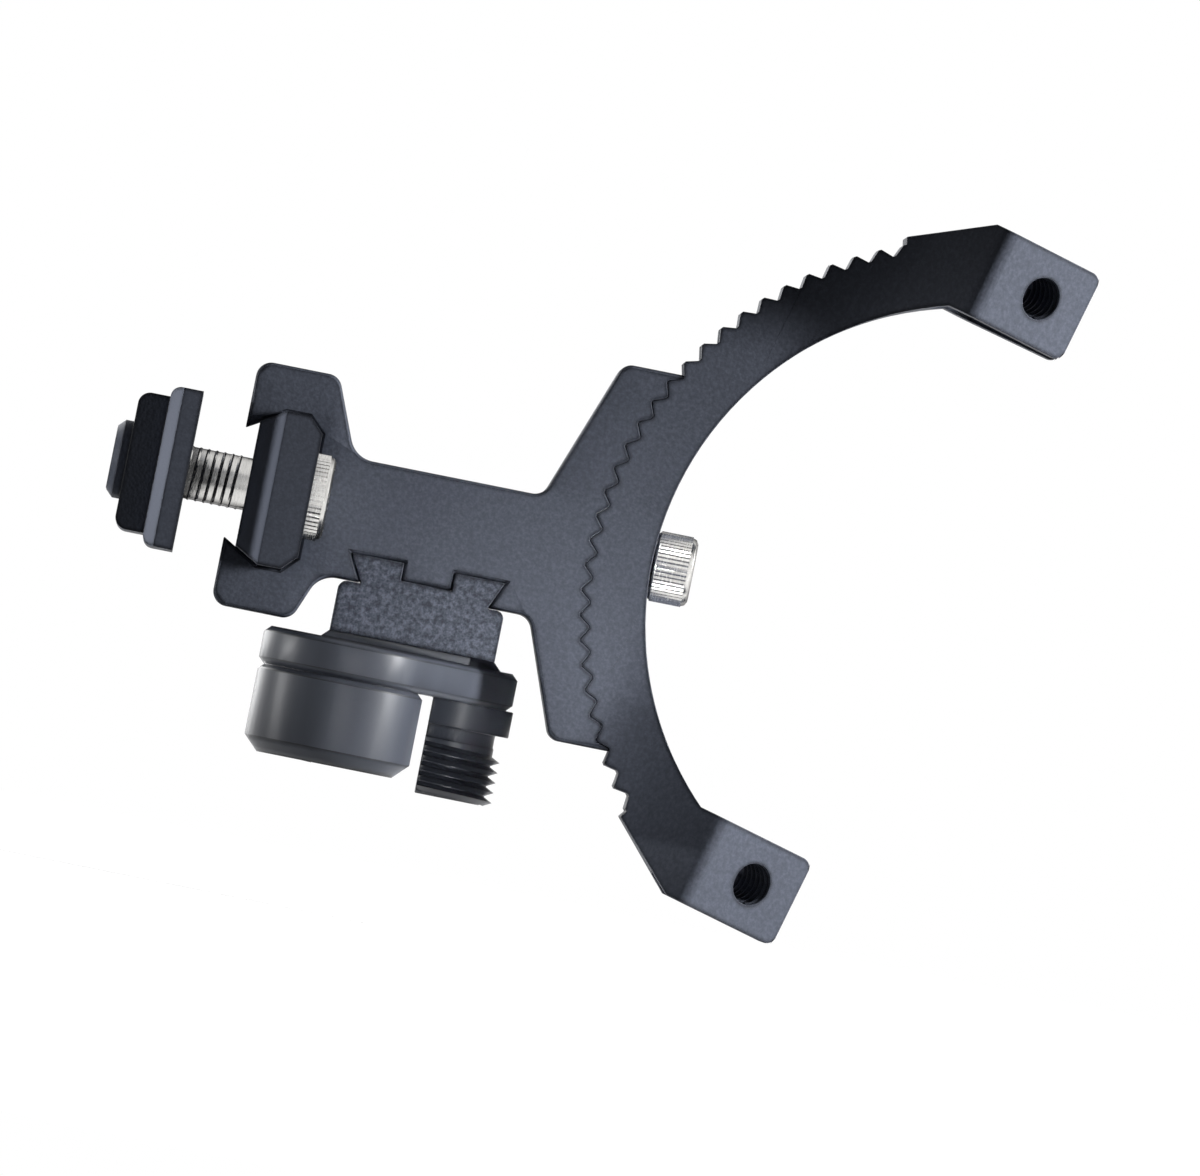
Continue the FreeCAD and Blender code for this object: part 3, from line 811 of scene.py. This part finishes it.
class MOUNT_OT_holder(bpy.types.Operator):
    """Dress the dovetail shoe, the cartridge moulding and its screws"""

    bl_idname = "mount.holder"
    bl_label = "Cartridge holder"

    def execute(self, context):
        sizes = context.scene.mount_sizes
        dressed_copy("shoe_dressed", "holder_shoe", "holder", "shoe_metal", sizes.tooth_break)
        dressed_copy(
            "moulding_dressed", "cartridge_holder", "holder", "holder_plastic", sizes.tooth_break)
        hole_threads(
            "socket_threads", "cartridge_", sizes.spigot_pitch, "holder", "holder_plastic")
        ridge = thread_ridge(
            SPIGOT_CORE_RADIUS, sizes.spigot_pitch, SPIGOT_THREAD_LENGTH,
            sizes.spigot_thread_depth, "holder_plastic")
        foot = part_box("cartridge_holder")[0].z
        ridge.transform(Matrix.Translation((SPIGOT_X, 0, foot + SPIGOT_THREAD_START)))
        press_flat(ridge, SPIGOT_FLAT_X + SPIGOT_FLAT_CLEAR)
        thread = joined_mesh("spigot_thread", (ridge,))
        add_piece("spigot_thread", thread, "holder", "holder_plastic")
        for side in ("left", "right"):
            dressed_copy(
                "screw_dressed_" + side, "holder_screw_" + side, "holder", "dark_screw",
                sizes.tooth_break)
        return {"FINISHED"}


class MOUNT_OT_stage(bpy.types.Operator):
    """Set up the pale floor, the world, the lamps and the camera"""

    bl_idname = "mount.stage"
    bl_label = "Studio stage"

    def execute(self, context):
        low, high = cad_box
        make_floor(lowest_reach() - FLOOR_CLEARANCE)
        make_world()
        lamp(
            "lamp_key", place=(0.50, -0.14, 0.10), target=(0.062, 0, 0),
            size=0.12, watts=0.25, spread=32.0)
        lamp(
            "lamp_side", place=(0.08, -0.45, -0.03), target=(0.036, -0.0095, -0.013),
            size=0.015, watts=0.0028, spread=7.5)
        lamp(
            "lamp_front", place=(-0.55, -0.06, 0), target=(-0.005, -0.028, 0),
            size=0.03, watts=0.0053, spread=6.0)
        lamp(
            "lamp_rear", place=(0.65, 0.35, 0.25), target=(0.035, 0, 0),
            size=0.4, watts=2.5, spread=180.0)
        lamp(
            "lamp_far", place=(-0.45, 0.65, 0.20), target=(0.035, 0, 0),
            size=0.5, watts=5.0, spread=180.0)
        make_camera((low + high) / 2)
        return {"FINISHED"}


def lowest_reach():
    """The lowest height of the mount at rest and with the bracket at either end of its tilt."""
    joints = frame["record"]["behaviour"]["joints"]
    tilt = next(joint for joint in joints if joint["name"] == "bracket_tilt")
    pivot = Vector(tilt["pos_m"])
    vertices = frame["nodes"]["cage_bracket"].data.vertices
    heights = [cad_box[0].z]
    for angle in tilt["range_deg"]:
        turn = Matrix.Rotation(math.radians(angle), 3, Vector(tilt["axis"]))
        heights += [(pivot + turn @ (vertex.co - pivot)).z for vertex in vertices]
    return min(heights)


def make_floor(height):
    """A pale floor that glows white where it is seen, less so close to the mount's shadow."""
    shape = bmesh.new()
    bmesh.ops.create_grid(shape, x_segments=1, y_segments=1, size=FLOOR_HALF_WIDTH)
    mesh = bpy.data.meshes.new("floor")
    shape.to_mesh(mesh)
    shape.free()
    mesh.transform(Matrix.Translation((0, 0, height)))
    floor = bpy.data.objects.new("floor", mesh)
    bpy.context.scene.collection.objects.link(floor)
    shader = Shader("floor_finish")
    surface = shader.surface
    pale = shader.ramp(shader.noise(scale=6.0), ((0.3, FLOOR_PALE), (0.7, FLOOR_PALER)))
    base = shader.mix(seen_rays(shader.tree), FLOOR_BOUNCE, pale)
    shader.link(base, surface.inputs["Base Color"])
    surface.inputs["Roughness"].default_value = 0.9
    surface.inputs["Specular IOR Level"].default_value = 0.0
    away = shader.tree.nodes.new("ShaderNodeVectorMath")
    away.operation = "LENGTH"
    shader.link(shader.coords, away.inputs[0])
    glow = shader.spread(
        away.outputs["Value"], low=FLOOR_GLOW_NEAR, high=1.0, top=FLOOR_GLOW_REACH)
    seen_glow = shader.math("MULTIPLY", seen_rays(shader.tree), glow)
    shader.link(seen_glow, surface.inputs["Emission Strength"])
    surface.inputs["Emission Color"].default_value = WHITE
    mesh.materials.append(shader.material)


def seen_rays(tree):
    """1 for rays that show a thing: from the camera, in a mirror, or through something clear."""
    rays = tree.nodes.new("ShaderNodeLightPath")
    seen = rays.outputs["Is Camera Ray"]
    for name in ("Is Glossy Ray", "Is Transmission Ray"):
        either = tree.nodes.new("ShaderNodeMath")
        either.operation = "MAXIMUM"
        tree.links.new(seen, either.inputs[0])
        tree.links.new(rays.outputs[name], either.inputs[1])
        seen = either.outputs[0]
    return seen


def make_world():
    """White where it is seen, softer for the light that falls on the object."""
    world = bpy.data.worlds.new("studio")
    world.use_nodes = True
    nodes, links = world.node_tree.nodes, world.node_tree.links
    background = nodes["Background"]
    level = nodes.new("ShaderNodeMapRange")
    level.inputs["To Min"].default_value = WORLD_LIGHT
    level.inputs["To Max"].default_value = 1.0
    links.new(seen_rays(world.node_tree), level.inputs["Value"])
    links.new(level.outputs["Result"], background.inputs["Strength"])
    background.inputs["Color"].default_value = WHITE
    bpy.context.scene.world = world


def lamp(name, place, target, size, watts, spread):
    """A square lamp aimed at a target; its spread in degrees narrows the beam."""
    light = bpy.data.lights.new(name, "AREA")
    light.shape = "SQUARE"
    light.size = size
    light.energy = watts
    light.spread = math.radians(spread)
    holder = bpy.data.objects.new(name, light)
    holder.location = place
    aim = Vector(target) - Vector(place)
    holder.rotation_euler = aim.to_track_quat("-Z", "Y").to_euler()
    bpy.context.scene.collection.objects.link(holder)


def make_camera(centre):
    """A long lens on the mount's side, a little low and ahead of it, rolled to its tilt."""
    data = bpy.data.cameras.new("camera")
    sight = Vector((centre.x, 0, centre.z)) + FRAME_CENTRE - CAMERA_PLACE
    data.sensor_width = CAMERA_SENSOR
    data.lens = data.sensor_width * sight.length / FRAME_WIDTH
    data.clip_end = CAMERA_SIGHT_LIMIT
    camera = bpy.data.objects.new("camera", data)
    facing = sight.to_track_quat("-Z", "Y").to_matrix().to_4x4()
    roll = Matrix.Rotation(CAMERA_ROLL, 4, "Z")
    camera.matrix_world = Matrix.Translation(CAMERA_PLACE) @ facing @ roll
    bpy.context.scene.collection.objects.link(camera)
    bpy.context.scene.camera = camera


OPERATORS = (
    MOUNT_OT_body, MOUNT_OT_clamp, MOUNT_OT_bolts, MOUNT_OT_bracket, MOUNT_OT_holder,
    MOUNT_OT_stage)


class MOUNT_PT_panel(bpy.types.Panel):
    """Sizes, colours and pieces of the mount"""

    bl_idname = "MOUNT_PT_panel"
    bl_label = "Bottle cage mount"
    bl_space_type = "VIEW_3D"
    bl_region_type = "UI"
    bl_category = "Mount"

    def draw(self, context):
        layout = self.layout
        for group in (context.scene.mount_sizes, context.scene.mount_colours):
            for name in group.__annotations__:
                layout.prop(group, name)
        for operator in OPERATORS:
            layout.operator(operator.bl_idname)


CLASSES = (MountSizes, MountColours) + OPERATORS + (MOUNT_PT_panel,)


def register():
    for item in CLASSES:
        bpy.utils.register_class(item)
    bpy.types.Scene.mount_sizes = bpy.props.PointerProperty(type=MountSizes)
    bpy.types.Scene.mount_colours = bpy.props.PointerProperty(type=MountColours)


def unregister():
    del bpy.types.Scene.mount_colours
    del bpy.types.Scene.mount_sizes
    for item in reversed(CLASSES):
        bpy.utils.unregister_class(item)


def main():
    register()
    scene = bpy.context.scene
    scene.view_settings.view_transform = "Standard"
    bpy.ops.mount.body()
    bpy.ops.mount.clamp()
    bpy.ops.mount.bolts()
    bpy.ops.mount.bracket()
    bpy.ops.mount.holder()
    bpy.ops.mount.stage()


if __name__ == "__main__":
    main()
